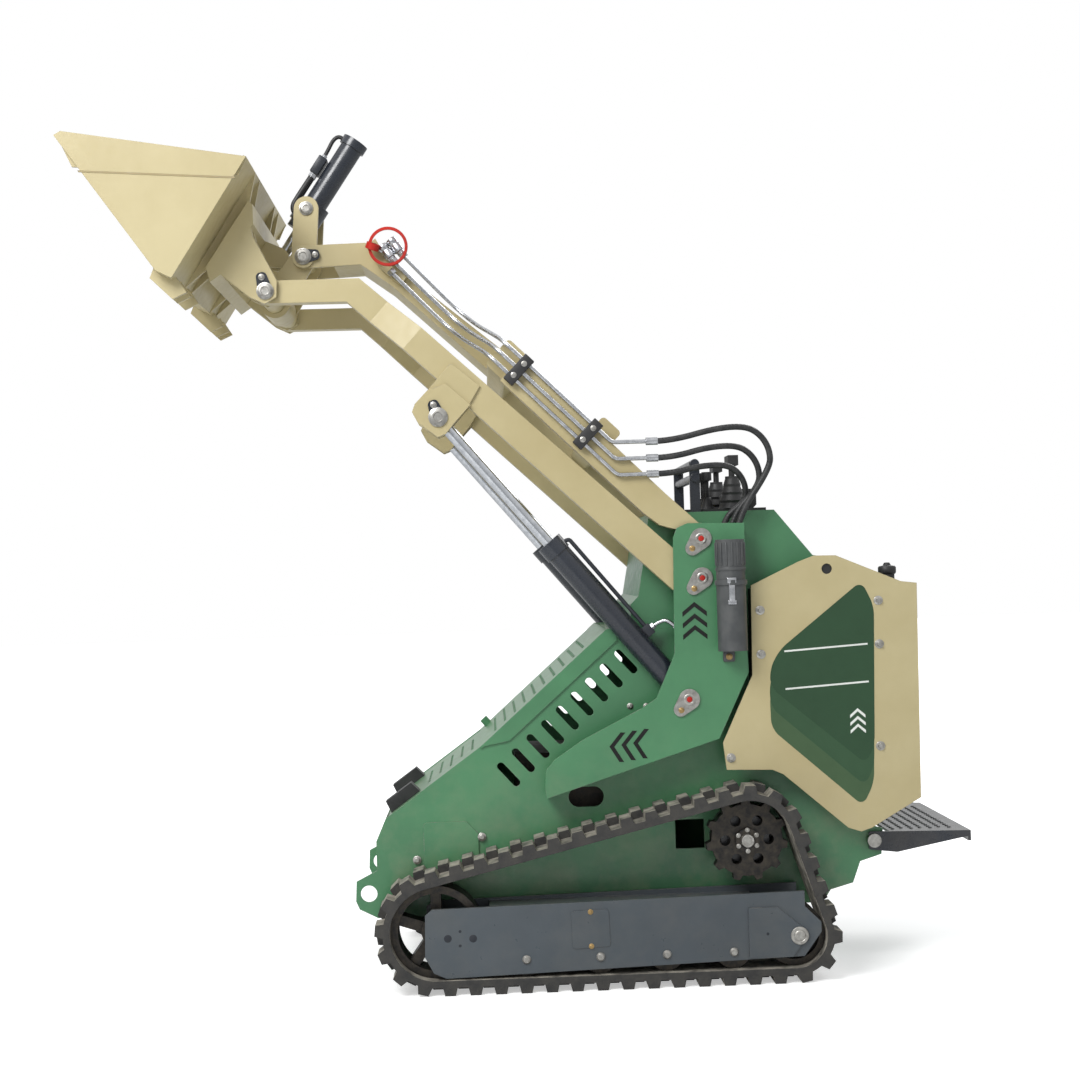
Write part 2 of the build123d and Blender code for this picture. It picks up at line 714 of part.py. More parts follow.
def make_platform():
    """Folding operator platform with its side cheeks on the hinge."""
    inner = hull_half + 5
    cheek = side_face([(318, 340), (400, 330), (platform_rear, 371), (platform_rear, platform_top), (318, 392)], 6)
    cheek = beside(cheek, inner, platform_half) - disc(platform_hinge, 12 + pin_clearance, 0, platform_half + 1)
    deck = Pos((platform_front + platform_rear) / 2, 0, platform_top - 4)
    deck *= Box(platform_rear - platform_front, 2 * platform_half, 8)
    lip = Pos(platform_rear - 4, 0, platform_top - 15) * Box(8, 2 * platform_half, 30)
    return deck + lip + pair(cheek)


def make_platform_pins():
    pin = disc(platform_hinge, 12, hull_half, platform_half) + disc(platform_hinge, 20, platform_half + 0.3, platform_half + 8)
    return pair(pin + disc(platform_hinge, 12, platform_half, platform_half + 1))


# Hoses between the link's tubes and the left tower

def bends(points):
    """The largest arc that each corner of a route allows."""
    radii = []
    for before, corner, after in zip(points, points[1:], points[2:]):
        first = Vector(*corner) - Vector(*before)
        second = Vector(*after) - Vector(*corner)
        turn = math.radians(first.get_angle(second))
        radii.append(0.45 * min(first.length, second.length) / math.tan(turn / 2))
    return radii


def make_hose(start_z, rise, radius, reach, drop_x, drop_y):
    """One hose: straight out of its fitting, over in a loop, and down into the left tower."""
    y = arm_outer + 12
    top = start_z + rise
    center = (reach - radius, top - radius)
    corner = radius / math.cos(math.radians(15))
    points = [(-266.6, -y, start_z), (-218, -y, start_z + 2), (center[0] - 60, -y + 3, top - 4)]
    for turn, share in ((15, 0.15), (45, 0.4), (75, 0.65), (105, 0.85)):
        angle = math.radians(turn)
        side = y + (drop_y - y) * share
        points.append((center[0] + corner * math.sin(angle), -side, center[1] + corner * math.cos(angle)))
    points += [(drop_x + 4, -drop_y - 4, 1312), (drop_x, -drop_y, 1240)]
    radii = bends(points)
    print("hose bends", [round(value) for value in radii])
    path = FilletPolyline(*points, radius=radii)
    return sweep(Plane(origin=path @ 0, z_dir=path % 0) * Circle(hose_radius), path=path)


arm = make_arm()
lift_barrel = make_lift_barrel()
lift_rod = make_lift_rod()
track = make_track()
track_frame = make_track_frame()
tower = make_tower()
bucket = make_bucket()
platform = make_platform()

nodes = {
    "hull_sides": make_hull_sides(),
    "hull_floor": make_hull_floor(),
    "hull_ends": make_hull_ends(),
    "nose_panel": make_nose_panel(),
    "bumpers": make_bumpers(),
    "hood": make_hood(),
    "engine": make_engine(),
    "console": make_console(),
    "control_deck": make_control_deck(),
    "grab_bars": make_grab_bars(),
    "knee_pad": make_knee_pad(),
    "tower_left": tower,
    "tower_right": mirrored(tower),
    "tower_pins": make_tower_pins(),
    "side_panels": pair(make_side_panel()),
    "side_tanks": pair(make_side_tank()),
    "canister": make_canister(),
    "drive_motors": make_drive_motors(),
    "sprockets": make_sprockets(),
    "track_left": track,
    "track_right": mirrored(track),
    "track_frame_left": track_frame,
    "track_frame_right": mirrored(track_frame),
    "track_rollers": make_rollers(),
    "front_idlers": make_front_idlers(),
    "rear_idlers": make_rear_idlers(),
    "platform_pins": make_platform_pins(),
    "platform": platform,
    "arm_left": arm,
    "arm_right": mirrored(arm),
    "torque_tube": make_torque_tube(),
    "link_members": make_link_members(),
    "link_front": make_link_front(),
    "link_cross": cross_box((-427, 1561)),
    "link_tubes": make_link_tubes(),
    "coupler_block": make_coupler_block(),
    "hose_upper": make_hose(1541, 36, 96, 56, -50, 384),
    "hose_middle": make_hose(1493, 30, 92, 26, -66, 358),
    "hose_lower": make_hose(1447, 22, 84, -12, -86, 330),
    "tilt_lever": make_lever(),
    "tilt_barrel": make_tilt_barrel(),
    "tilt_rod": make_tilt_rod(),
    "lift_barrel_left": lift_barrel,
    "lift_barrel_right": mirrored(lift_barrel),
    "lift_rod_left": lift_rod,
    "lift_rod_right": mirrored(lift_rod),
    "attach_plate": make_attach_plate(),
    "bucket": bucket,
}

# The frame's origin is on the ground, below the middle of the whole machine.
x_shift = -(bucket.bounding_box().min.X + platform.bounding_box().max.X) / 2
print("x_shift", round(x_shift, 4))
for name, part in nodes.items():
    export_step(Pos(x_shift, 0, 0) * part, f"parts/{name}.step")
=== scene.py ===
"""A compact stand-on track loader with a vertical-lift arm, around its CAD model."""

import math

import bmesh
import bpy
from mathutils import Matrix, Vector


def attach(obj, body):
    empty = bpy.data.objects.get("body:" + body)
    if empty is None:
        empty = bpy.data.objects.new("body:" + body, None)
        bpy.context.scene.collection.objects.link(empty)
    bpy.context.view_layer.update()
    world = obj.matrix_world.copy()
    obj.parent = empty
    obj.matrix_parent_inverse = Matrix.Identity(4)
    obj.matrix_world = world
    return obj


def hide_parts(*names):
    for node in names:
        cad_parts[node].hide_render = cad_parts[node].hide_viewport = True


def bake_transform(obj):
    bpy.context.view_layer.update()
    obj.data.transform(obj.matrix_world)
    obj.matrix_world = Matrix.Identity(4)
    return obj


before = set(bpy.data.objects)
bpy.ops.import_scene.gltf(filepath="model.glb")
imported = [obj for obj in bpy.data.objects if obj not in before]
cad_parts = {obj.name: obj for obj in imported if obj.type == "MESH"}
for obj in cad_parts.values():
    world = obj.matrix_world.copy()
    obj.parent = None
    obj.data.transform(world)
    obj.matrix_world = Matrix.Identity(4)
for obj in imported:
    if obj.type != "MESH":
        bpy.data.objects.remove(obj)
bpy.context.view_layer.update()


# ---------------------------------------------------------------- camera
# The photograph was taken square on to the machine's left side, from about six
# metres away and a little above the level of the tower's pins.
camera_data = bpy.data.cameras.new("camera")
camera_data.lens = 62.73
camera_data.sensor_width = 36.0
camera_data.clip_end = 60.0
camera = bpy.data.objects.new("camera", camera_data)
bpy.context.scene.collection.objects.link(camera)
camera.matrix_world = Matrix(
    (
        (0.9991215, 0.0306537, -0.0285760, -0.1079),
        (-0.0281089, -0.0155642, -0.9994836, -5.7808),
        (-0.0310826, 0.9994088, -0.0146889, 1.1886),
        (0.0, 0.0, 0.0, 1.0),
    )
)
bpy.context.scene.camera = camera


# ---------------------------------------------------------------- pressure hoses
# Three wire-braided rubber hoses carry oil from the tower to the steel lines on
# the link. Each is a fixed length, crimped into its couplings at both ends.
def drawn(x, y, z):
    """A point measured in the side view, in millimetres, as metres in this frame."""
    return Vector(((x + 659.5) / 1000, y / 1000, z / 1000))


def surface(name, roughness, metallic=0.0, coat=0.0):
    """A new finish, with the numbers that are the same all over it."""
    material = bpy.data.materials.new(name)
    material.use_nodes = True
    shader = material.node_tree.nodes["Principled BSDF"]
    shader.inputs["Roughness"].default_value = roughness
    shader.inputs["Metallic"].default_value = metallic
    shader.inputs["Coat Weight"].default_value = coat
    shader.inputs["Coat Roughness"].default_value = 0.18
    return material


def node(material, kind, values=(), links=(), **settings):
    """Adds one node; values are set on its inputs, and links join outputs to them."""
    tree = material.node_tree
    made = tree.nodes.new(kind)
    for key, value in settings.items():
        setattr(made, key, value)
    for key, value in dict(values).items():
        made.inputs[key].default_value = value
    for key, output in dict(links).items():
        tree.links.new(output, made.inputs[key])
    return made


def join(material, output, socket):
    """Joins an output to a socket of the finish's shader."""
    shader = material.node_tree.nodes["Principled BSDF"]
    material.node_tree.links.new(output, shader.inputs[socket])


def mottle(material, scale, detail=4.0):
    """Cloudy noise over the piece, with that many patches to a metre."""
    place = node(material, "ShaderNodeTexCoord").outputs["Object"]
    return node(
        material,
        "ShaderNodeTexNoise",
        {"Scale": scale, "Detail": detail, "Roughness": 0.6},
        {"Vector": place},
    ).outputs["Fac"]


def between(material, value, low, high, first=0.0, last=1.0):
    """Stretches a value from low to high over first to last, and stops there."""
    return node(
        material,
        "ShaderNodeMapRange",
        {"From Min": low, "From Max": high, "To Min": first, "To Max": last},
        {"Value": value},
    ).outputs["Result"]


def times(material, a, b):
    """One mask held back by another."""
    return node(
        material, "ShaderNodeMath", (), {0: a, 1: b}, operation="MULTIPLY"
    ).outputs["Value"]


def blended(material, mask, base, over):
    """Two colours, or a colour over what is already there, by a mask."""
    made = node(material, "ShaderNodeMix", data_type="RGBA")
    tree = material.node_tree
    tree.links.new(mask, made.inputs["Factor"])
    for key, colour in (("A", base), ("B", over)):
        socket = [s for s in made.inputs if s.name == key and s.type == "RGBA"][0]
        if isinstance(colour, tuple):
            socket.default_value = (*colour, 1.0)
        else:
            tree.links.new(colour, socket)
    return [s for s in made.outputs if s.type == "RGBA"][0]


def grained(material, height, strength, depth, rounding=0.0):
    """Raises the surface by a height, over edges rounded by that many metres."""
    links = {"Height": height}
    if rounding:
        links["Normal"] = node(
            material, "ShaderNodeBevel", {"Radius": rounding}, samples=4
        ).outputs["Normal"]
    bump = node(
        material, "ShaderNodeBump", {"Strength": strength, "Distance": depth}, links
    )
    join(material, bump.outputs["Normal"], "Normal")


def clouded(material, cloud, start, colour, other, smooth, rough):
    """Lets colour and roughness drift with a cloud of noise, from its start up."""
    share = between(material, cloud, start, start + 0.35)
    join(material, blended(material, share, colour, other), "Base Color")
    join(material, between(material, cloud, 0.3, 0.7, smooth, rough), "Roughness")


hose_rubber = surface("hose rubber", 0.5)
hose_coords = node(hose_rubber, "ShaderNodeTexCoord").outputs["Object"]
hose_wrap = node(
    hose_rubber,
    "ShaderNodeTexWave",
    {"Scale": 55.0, "Distortion": 0.6, "Detail": 1.0},
    {"Vector": hose_coords},
    bands_direction="DIAGONAL",
).outputs["Fac"]
hose_black, hose_grey = (0.011, 0.012, 0.013), (0.045, 0.045, 0.044)
clouded(
    hose_rubber, mottle(hose_rubber, 35.0), 0.4, hose_black, hose_grey, 0.38, 0.62
)
grained(hose_rubber, hose_wrap, 0.35, 0.0009)

hose_thickness = 0.018
hose_routes = {
    "hose_upper": [
        (-266.6, -405, 1541),
        (-218, -405, 1543),
        (-100, -402, 1573),
        (-14.3, -401.9, 1577),
        (30.3, -396.6, 1551.3),
        (56, -391.4, 1506.7),
        (56, -387.2, 1455.3),
        (-46, -388, 1312),
        (-50, -384, 1240),
    ],
    "hose_middle": [
        (-266.6, -405, 1493),
        (-218, -405, 1495),
        (-126, -402, 1519),
        (-41.4, -398, 1523),
        (1.4, -386.2, 1498.4),
        (26, -374.5, 1455.7),
        (26, -365.1, 1406.4),
        (-62, -362, 1312),
        (-66, -358, 1240),
    ],
    "hose_lower": [
        (-266.6, -405, 1447),
        (-218, -405, 1449),
        (-156, -402, 1465),
        (-73.5, -393.8, 1469),
        (-34.5, -375, 1446.5),
        (-12, -356.3, 1407.5),
        (-12, -341.3, 1362.5),
        (-82, -334, 1312),
        (-86, -330, 1240),
    ],
}


def route_curve(points):
    """A smooth open curve that has these points as its control points."""
    data = bpy.data.curves.new("route", "CURVE")
    data.dimensions = "3D"
    spline = data.splines.new("NURBS")
    spline.points.add(len(points) - 1)
    for control, point in zip(spline.points, points):
        control.co = (*point, 1.0)
    spline.order_u = 3
    spline.use_endpoint_u = True
    spline.resolution_u = 12
    return data


def tube_mesh(curve_data, radius=0.0):
    """The curve's line, or with a radius its tube with closed ends, as a mesh."""
    curve_data.bevel_depth = radius
    curve_data.bevel_resolution = 3
    curve_data.use_fill_caps = radius > 0
    holder = bpy.data.objects.new("route", curve_data)
    bpy.context.scene.collection.objects.link(holder)
    bpy.context.view_layer.update()
    mesh = bpy.data.meshes.new_from_object(
        holder.evaluated_get(bpy.context.evaluated_depsgraph_get())
    )
    bpy.data.objects.remove(holder)
    return mesh


for hose_name, hose_route in hose_routes.items():
    hose_curve = route_curve([drawn(*point) for point in hose_route])
    hose_line = [v.co.copy() for v in tube_mesh(hose_curve).vertices]
    hose = bpy.data.objects.new(
        hose_name + "_braided", tube_mesh(hose_curve, hose_thickness / 2)
    )
    bpy.context.scene.collection.objects.link(hose)
    for face in hose.data.polygons:
        face.use_smooth = True
    hose.data.materials.clear()
    hose.data.materials.append(hose_rubber)
    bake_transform(hose)
    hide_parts(hose_name)


# ---------------------------------------------------------------- hull
# The hull is folded and welded from plate, and sprayed green. The paint has a
# light orange peel, dust where it lies level or near the tracks, and chips along
# its edges.
def sprayed(
    name, colour, deep, dust, roughness=0.36, chips=(0.25, 0.24, 0.22), dirt=0.30
):
    """Spray paint on plate: a shade that drifts, dust low down, chipped edges."""
    paint = surface(name, roughness, coat=0.25)
    coords = node(paint, "ShaderNodeTexCoord")
    drift = mottle(paint, 2.2, 5.0)
    speckle = mottle(paint, 46.0, 6.0)
    shade = blended(paint, between(paint, drift, 0.35, 0.68), colour, deep)
    upward = node(
        paint, "ShaderNodeSeparateXYZ", (), {0: coords.outputs["Normal"]}
    ).outputs["Z"]
    height = node(
        paint, "ShaderNodeSeparateXYZ", (), {0: coords.outputs["Object"]}
    ).outputs["Z"]
    settled = times(
        paint,
        between(paint, upward, 0.35, 1.0, 0.0, 0.34),
        between(paint, speckle, 0.38, 0.62),
    )
    splashed = times(
        paint,
        between(paint, height, 0.75, 0.15, 0.0, dirt),
        between(paint, mottle(paint, 11.0, 7.0), 0.42, 0.72),
    )
    shade = blended(paint, settled, shade, dust)
    shade = blended(paint, splashed, shade, dust)
    rounded = node(paint, "ShaderNodeBevel", {"Radius": 0.0028}, samples=4)
    flat = node(paint, "ShaderNodeNewGeometry").outputs["True Normal"]
    facing = node(
        paint,
        "ShaderNodeVectorMath",
        (),
        {0: rounded.outputs["Normal"], 1: flat},
        operation="DOT_PRODUCT",
    ).outputs["Value"]
    rubbed = times(
        paint,
        between(paint, facing, 0.985, 0.86),
        between(paint, mottle(paint, 31.0, 8.0), 0.52, 0.62),
    )
    shade = blended(paint, rubbed, shade, chips)
    join(paint, shade, "Base Color")
    join(
        paint,
        between(paint, speckle, 0.3, 0.75, roughness - 0.07, roughness + 0.16),
        "Roughness",
    )
    grained(paint, mottle(paint, 420.0, 2.0), 0.09, 0.0006, rounding=0.0022)
    return paint


def finish_nodes(material, *names):
    """Gives CAD nodes their finish."""
    for name in names:
        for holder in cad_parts[name].material_slots:
            holder.material = material


field_dust = (0.42, 0.36, 0.26)
green_paint = sprayed(
    "green paint", (0.072, 0.238, 0.108), (0.050, 0.168, 0.078), field_dust
)
finish_nodes(
    green_paint,
    "hull_sides",
    "hull_floor",
    "hull_ends",
    "nose_panel",
    "hood",
    "console",
    "tower_left",
    "tower_right",
)


# ---------------------------------------------------------------- fastener work
# Zinc-plated hexagon screws on washers hold the panels, guards and hatches. They
# are cold-headed and plated, and have dulled outdoors.
def plated(name, colour, dull, roughness):
    """Turned or plated metal with a drifting dullness and fine machining lines."""
    metal = surface(name, roughness, metallic=1.0)
    cloud = mottle(metal, 60.0, 5.0)
    smooth, rough = roughness - 0.08, roughness + 0.14
    clouded(metal, cloud, 0.35, colour, dull, smooth, rough)
    grained(metal, mottle(metal, 700.0, 2.0), 0.12, 0.0003, rounding=0.0009)
    return metal


zinc = plated("zinc plate", (0.50, 0.49, 0.46), (0.25, 0.24, 0.22), 0.34)
same_place = 1e-6


def take_in(mesh, shape, at=None):
    """Adds one closed shape to a piece, with its faces outward."""
    if at is not None:
        bmesh.ops.transform(shape, matrix=at, verts=shape.verts)
    bmesh.ops.remove_doubles(shape, verts=shape.verts, dist=same_place)
    bmesh.ops.recalc_face_normals(shape, faces=shape.faces)
    store = bpy.data.meshes.new("shape")
    shape.to_mesh(store)
    shape.free()
    mesh.from_mesh(store)
    bpy.data.meshes.remove(store)


def aimed(at, axis):
    """The matrix that stands a shape made along Z on a point, along an axis."""
    turn = Vector((0, 0, 1)).rotation_difference(Vector(axis).normalized())
    return Matrix.Translation(at) @ turn.to_matrix().to_4x4()


def lathe(mesh, outline, at, axis, steps=28):
    """Spins an outline of (radius, distance along) about an axis through a point."""
    shape = bmesh.new()
    line = [shape.verts.new((radius, 0.0, along)) for radius, along in outline]
    edges = [shape.edges.new(ends) for ends in zip(line, line[1:])]
    bmesh.ops.spin(
        shape,
        geom=line + edges,
        axis=(0, 0, 1),
        cent=(0, 0, 0),
        angle=2 * math.pi,
        steps=steps,
        use_merge=True,
    )
    take_in(mesh, shape, aimed(at, axis))


def hexagon(mesh, at, axis, across, height):
    """A hexagon head or nut with its top corners chamfered."""
    shape = bmesh.new()
    bmesh.ops.create_cone(
        shape,
        cap_ends=True,
        segments=6,
        radius1=across / math.sqrt(3),
        radius2=across / math.sqrt(3),
        depth=height,
    )
    top = [e for e in shape.edges if all(v.co.z > 0 for v in e.verts)]
    bmesh.ops.bevel(
        shape,
        geom=top,
        offset=across * 0.09,
        segments=1,
        profile=0.5,
        affect="EDGES",
        material=-1,
    )
    bmesh.ops.translate(shape, verts=shape.verts, vec=(0, 0, height / 2))
    take_in(mesh, shape, aimed(at, axis))


def screw(mesh, at, axis, across):
    """A hexagon screw head on its washer, seated on a face."""
    out = Vector(axis).normalized()
    rim, thin = across * 0.95, across * 0.14
    lathe(
        mesh,
        [(0, 0), (rim, 0), (rim, thin * 0.7), (rim - thin * 0.4, thin), (0, thin)],
        at,
        out,
        steps=20,
    )
    hexagon(mesh, Vector(at) + out * thin, out, across, across * 0.55)


crease = math.radians(38)


def finished(name, mesh, material, body):
    """Makes the piece, gives it its finish, and sets it on its body."""
    data = bpy.data.meshes.new(name)
    mesh.to_mesh(data)
    mesh.free()
    for face in data.polygons:
        face.use_smooth = True
    data.set_sharp_from_angle(angle=crease)
    data.materials.append(material)
    piece = bpy.data.objects.new(name, data)
    bpy.context.scene.collection.objects.link(piece)
    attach(piece, body)


left, right = -1, 1
# Where the outer faces stand, in millimetres from the machine's middle plane.
hull_face, hatch_face, motor_face = 312, 318, 438
plate_face, keeper_face = 408, 414
cheek_face, idler_face, bucket_face = 490, 496, 530
screws = bmesh.new()
panel_screws = [
    (10, 1047),
    (9, 921),
    (-87, 628),
    (351, 1065),
    (350, 940),
    (344, 648),
]
hull_screws = [(-364, 778), (-317, 776), (-270, 775)]
hatch_screws = [(-995, 355), (-806, 415)]
for side in (left, right):
    for x, z in panel_screws:
        screw(screws, drawn(x, side * plate_face, z), (0, side, 0), 0.014)
    for x, z in hull_screws:
        screw(screws, drawn(x, side * hull_face, z), (0, side, 0), 0.010)
    for x, z in hatch_screws:
        screw(screws, drawn(x, side * hatch_face, z), (0, side, 0), 0.013)
finished("panel_screws", screws, zinc, "machine")


# ---------------------------------------------------------------- side panels
# The rear guards are folded plate in sand paint, on six screws each, with a round
# grip hole at the top. A shield in three greens with chevrons is stuck on each.
sand_paint = sprayed(
    "sand paint",
    (0.52, 0.445, 0.245),
    (0.44, 0.365, 0.185),
    (0.46, 0.41, 0.30),
    roughness=0.40,
    chips=(0.30, 0.27, 0.20),
)
finish_nodes(sand_paint, "side_panels")


def film(name, colour, other, roughness=0.42):
    """Vinyl film: even colour with a slight drift, scuffs and a faint texture."""
    vinyl = surface(name, roughness)
    vinyl_shader = vinyl.node_tree.nodes["Principled BSDF"]
    vinyl_shader.inputs["Specular IOR Level"].default_value = 0.28
    cloud = mottle(vinyl, 9.0, 6.0)
    clouded(vinyl, cloud, 0.35, colour, other, roughness - 0.08, 0.6)
    grained(vinyl, mottle(vinyl, 500.0, 2.0), 0.06, 0.0004)
    return vinyl


def cut_film(mesh, outline, side, face, thickness, rounding=0.0):
    """Adds a flat sheet cut to an outline of the side view, stuck on a side face."""
    shape = bmesh.new()
    corners = [shape.verts.new(drawn(x, side * face, z)) for x, z in outline]
    sheet = shape.faces.new(corners)
    if rounding:
        bmesh.ops.bevel(
            shape,
            geom=corners,
            offset=rounding / 1000,
            segments=8,
            profile=0.5,
            affect="VERTICES",
            material=-1,
        )
        sheet = next(iter(shape.faces))
    grown = bmesh.ops.extrude_face_region(shape, geom=[sheet])
    bmesh.ops.translate(
        shape,
        verts=[v for v in grown["geom"] if isinstance(v, bmesh.types.BMVert)],
        vec=(0, side * thickness / 1000, 0),
    )
    take_in(mesh, shape)


def chevron(mesh, centre, size, turn, side, face, thickness):
    """One arrow stroke of a width, height and band, pointing up at no turn."""
    width, height, band = size
    half = width / 2
    stroke = [
        (-half, -height / 2),
        (0, height / 2 - band),
        (half, -height / 2),
        (half, -height / 2 + band),
        (0, height / 2),
        (-half, -height / 2 + band),
    ]
    c, s = math.cos(turn), math.sin(turn)
    points = [
        (centre[0] + x * c - z * s, centre[1] + x * s + z * c) for x, z in stroke
    ]
    cut_film(mesh, points, side, face, thickness)


dark_green_film = film("dark green film", (0.030, 0.074, 0.036), (0.026, 0.064, 0.031))
mid_green_film = film("mid green film", (0.040, 0.092, 0.045), (0.034, 0.080, 0.039))
light_green_film = film(
    "light green film", (0.064, 0.118, 0.056), (0.054, 0.102, 0.048)
)
pale_film = film("pale film", (0.80, 0.82, 0.78), (0.70, 0.73, 0.68))
black_film = film("black film", (0.006, 0.006, 0.006), (0.012, 0.012, 0.012))

shield_low, shield_mid, shield_top = bmesh.new(), bmesh.new(), bmesh.new()
shield_marks = bmesh.new()
# Each sheet's two feet and its two forward corners; the rest is the same for all.
shield_sheets = [
    (shield_low, [(322, 545), (288, 478), (32, 706), (30, 800)]),
    (shield_mid, [(324, 592), (296, 536), (32, 768), (30, 832)]),
    (shield_top, [(327, 652), (300, 598), (34, 824), (32, 876)]),
]
sheet_thickness, sheet_step, marks_face, marks_thickness = 0.4, 0.15, 408.8, 0.3
shield_stroke = (44, 28, 9)
for side in (left, right):
    for layer, (sheet_mesh, corners) in enumerate(shield_sheets):
        outline = [(304, 1122), (338, 1050), *corners, (62, 932)]
        thickness = sheet_thickness + sheet_step * layer
        cut_film(sheet_mesh, outline, side, plate_face, thickness, rounding=26)
    marks_at = (side, marks_face, marks_thickness)
    for step in range(3):
        chevron(shield_marks, (281, 700 + 22 * step), shield_stroke, 0.0, *marks_at)
    for z in (817, 925):
        stripe = [(76, z), (316, z + 14), (316, z + 19), (76, z + 5)]
        cut_film(shield_marks, stripe, *marks_at)
finished("shield_low", shield_low, light_green_film, "machine")
finished("shield_mid", shield_mid, mid_green_film, "machine")
finished("shield_top", shield_top, dark_green_film, "machine")
finished("shield_marks", shield_marks, pale_film, "machine")


# ---------------------------------------------------------------- tower marks
# Three black chevrons point up on each tower and three point forward on its
# foot, cut from film.
tower_marks = bmesh.new()
tower_stroke, foot_stroke, forward = (70, 42, 14), (84, 44, 14), math.radians(86)
for side in (left, right):
    marks_at = (side, plate_face, 0.5)
    for step in range(3):
        on_tower, on_foot = (-178, 990 + 33 * step), (-412 + 34 * step, 670 + 4 * step)
        chevron(tower_marks, on_tower, tower_stroke, 0.0, *marks_at)
        chevron(tower_marks, on_foot, foot_stroke, forward, *marks_at)
finished("tower_marks", tower_marks, black_film, "machine")


# ---------------------------------------------------------------- tower pins
# Ground steel pins carry the arm, the link and the lift cylinder. A keeper plate
# stops each from turning, with a dab of red inspection paint on the pin's end.
finish_nodes(zinc, "tower_pins")
red_paint = film("red marking", (0.52, 0.025, 0.015), (0.40, 0.018, 0.012), 0.34)
brass = plated("brass", (0.50, 0.34, 0.15), (0.30, 0.21, 0.10), 0.34)
dabs, keeper_screws, pin_rings = bmesh.new(), bmesh.new(), bmesh.new()
pin_places = [
    ((-153, 1258), (-179, 1230)),
    ((-153, 1145), (-177, 1115)),
    ((-201, 799), (-225, 769)),
]
pin_face = 413.8
for side in (left, right):
    for (x, z), (screw_x, screw_z) in pin_places:
        screw(
            keeper_screws,
            drawn(screw_x, side * keeper_face, screw_z),
            (0, side, 0),
            0.009,
        )
        lathe(
            pin_rings,
            [
                (0.0095, 0),
                (0.0165, 0),
                (0.0165, 0.0016),
                (0.0150, 0.0026),
                (0.0110, 0.0026),
                (0.0095, 0.0014),
                (0.0095, 0),
            ],
            drawn(x, side * keeper_face, z),
            (0, side, 0),
            steps=36,
        )
        lathe(
            dabs,
            [(0, 0), (0.0085, 0), (0.0075, 0.0008), (0, 0.0011)],
            drawn(x, side * pin_face, z),
            (0, side, 0),
            steps=20,
        )
finished("pin_dabs", dabs, red_paint, "machine")
finished("keeper_screws", keeper_screws, brass, "machine")
finished("pin_rings", pin_rings, zinc, "machine")


# ---------------------------------------------------------------- arms and link
# The lift arms, the link and the coupler frame are box sections welded from
# plate, in the same sand paint as the guards.
finish_nodes(
    sand_paint,
    "arm_left",
    "arm_right",
    "torque_tube",
    "link_members",
    "link_front",
    "link_cross",
    "coupler_block",
    "tilt_lever",
    "attach_plate",
)


# ---------------------------------------------------------------- steel lines
# Three bright zinc-plated tubes run along the link, held by two black plastic
# clamps with screws.
bright_steel = plated("bright steel", (0.56, 0.57, 0.59), (0.34, 0.35, 0.37), 0.22)
finish_nodes(bright_steel, "link_tubes")


def moulding(name, colour, other, roughness=0.5):
    """Moulded black or grey plastic, faintly grained, paler on its rubbed places."""
    plastic = surface(name, roughness)
    cloud = mottle(plastic, 18.0, 6.0)
    smooth, rough = roughness - 0.1, roughness + 0.12
    clouded(plastic, cloud, 0.4, colour, other, smooth, rough)
    grained(plastic, mottle(plastic, 900.0, 2.0), 0.18, 0.0004, rounding=0.0015)
    return plastic


black_plastic = moulding("black plastic", (0.013, 0.013, 0.014), (0.030, 0.030, 0.030))
finish_nodes(black_plastic, "side_tanks", "control_deck", "bumpers")


def block(mesh, size, at, rounding, axis_x=(1, 0, 0), axis_y=(0, 1, 0)):
    """A block of that size about a point, turned to two axes, with rounded edges."""
    shape = bmesh.new()
    bmesh.ops.create_cube(shape, size=1.0)
    bmesh.ops.scale(shape, vec=size, verts=shape.verts)
    bmesh.ops.bevel(
        shape,
        geom=shape.edges[:],
        offset=rounding,
        segments=2,
        profile=0.5,
        affect="EDGES",
        material=-1,
    )
    x_axis, y_axis = Vector(axis_x).normalized(), Vector(axis_y).normalized()
    z_axis = x_axis.cross(y_axis)
    turn = Matrix((x_axis, y_axis, z_axis)).transposed().to_4x4()
    take_in(mesh, shape, Matrix.Translation(at) @ turn)


# A line of the side view: its start in millimetres, the way it runs, and the way
# across it.
link_line = (Vector((-752, 1769)), Vector((0.7111, -0.7030)), Vector((0.7030, 0.7111)))


def beside(line, along, across, y):
    """The point that far along a line of the side view and across it, at a width."""
    start, run, aside = line
    point = start + run * along + aside * across
    return drawn(point.x, y, point.y)


def level(way):
    """A way in the side view as one in this frame."""
    return Vector((way.x, 0, way.y))


enamel_dark = film("keeper enamel", (0.022, 0.026, 0.034), (0.035, 0.038, 0.045), 0.3)
clamps, clamp_screws = bmesh.new(), bmesh.new()
clamp_size, clamp_up = (0.094, 0.026, 0.034), level(link_line[2])
line_y, clamp_y, clamp_height = -405, -406, 56
screw_reach, screw_seat = 0.022, Vector((0, -0.0128, 0))
for along in (75, 345):
    middle = beside(link_line, along, clamp_height, clamp_y)
    block(clamps, clamp_size, middle, 0.002, axis_x=clamp_up)
    for reach in (-screw_reach, screw_reach):
        head = middle + clamp_up * reach + screw_seat
        screw(clamp_screws, head, (0, -1, 0), 0.009)
finished("line_clamps", clamps, black_plastic, "upper_link")
finished("line_clamp_screws", clamp_screws, zinc, "upper_link")


def pipe(mesh, points, radius):
    """A bent tube along a smooth line, with closed ends."""
    bent = tube_mesh(route_curve(points), radius)
    shape = bmesh.new()
    shape.from_mesh(bent)
    bpy.data.meshes.remove(bent)
    take_in(mesh, shape)


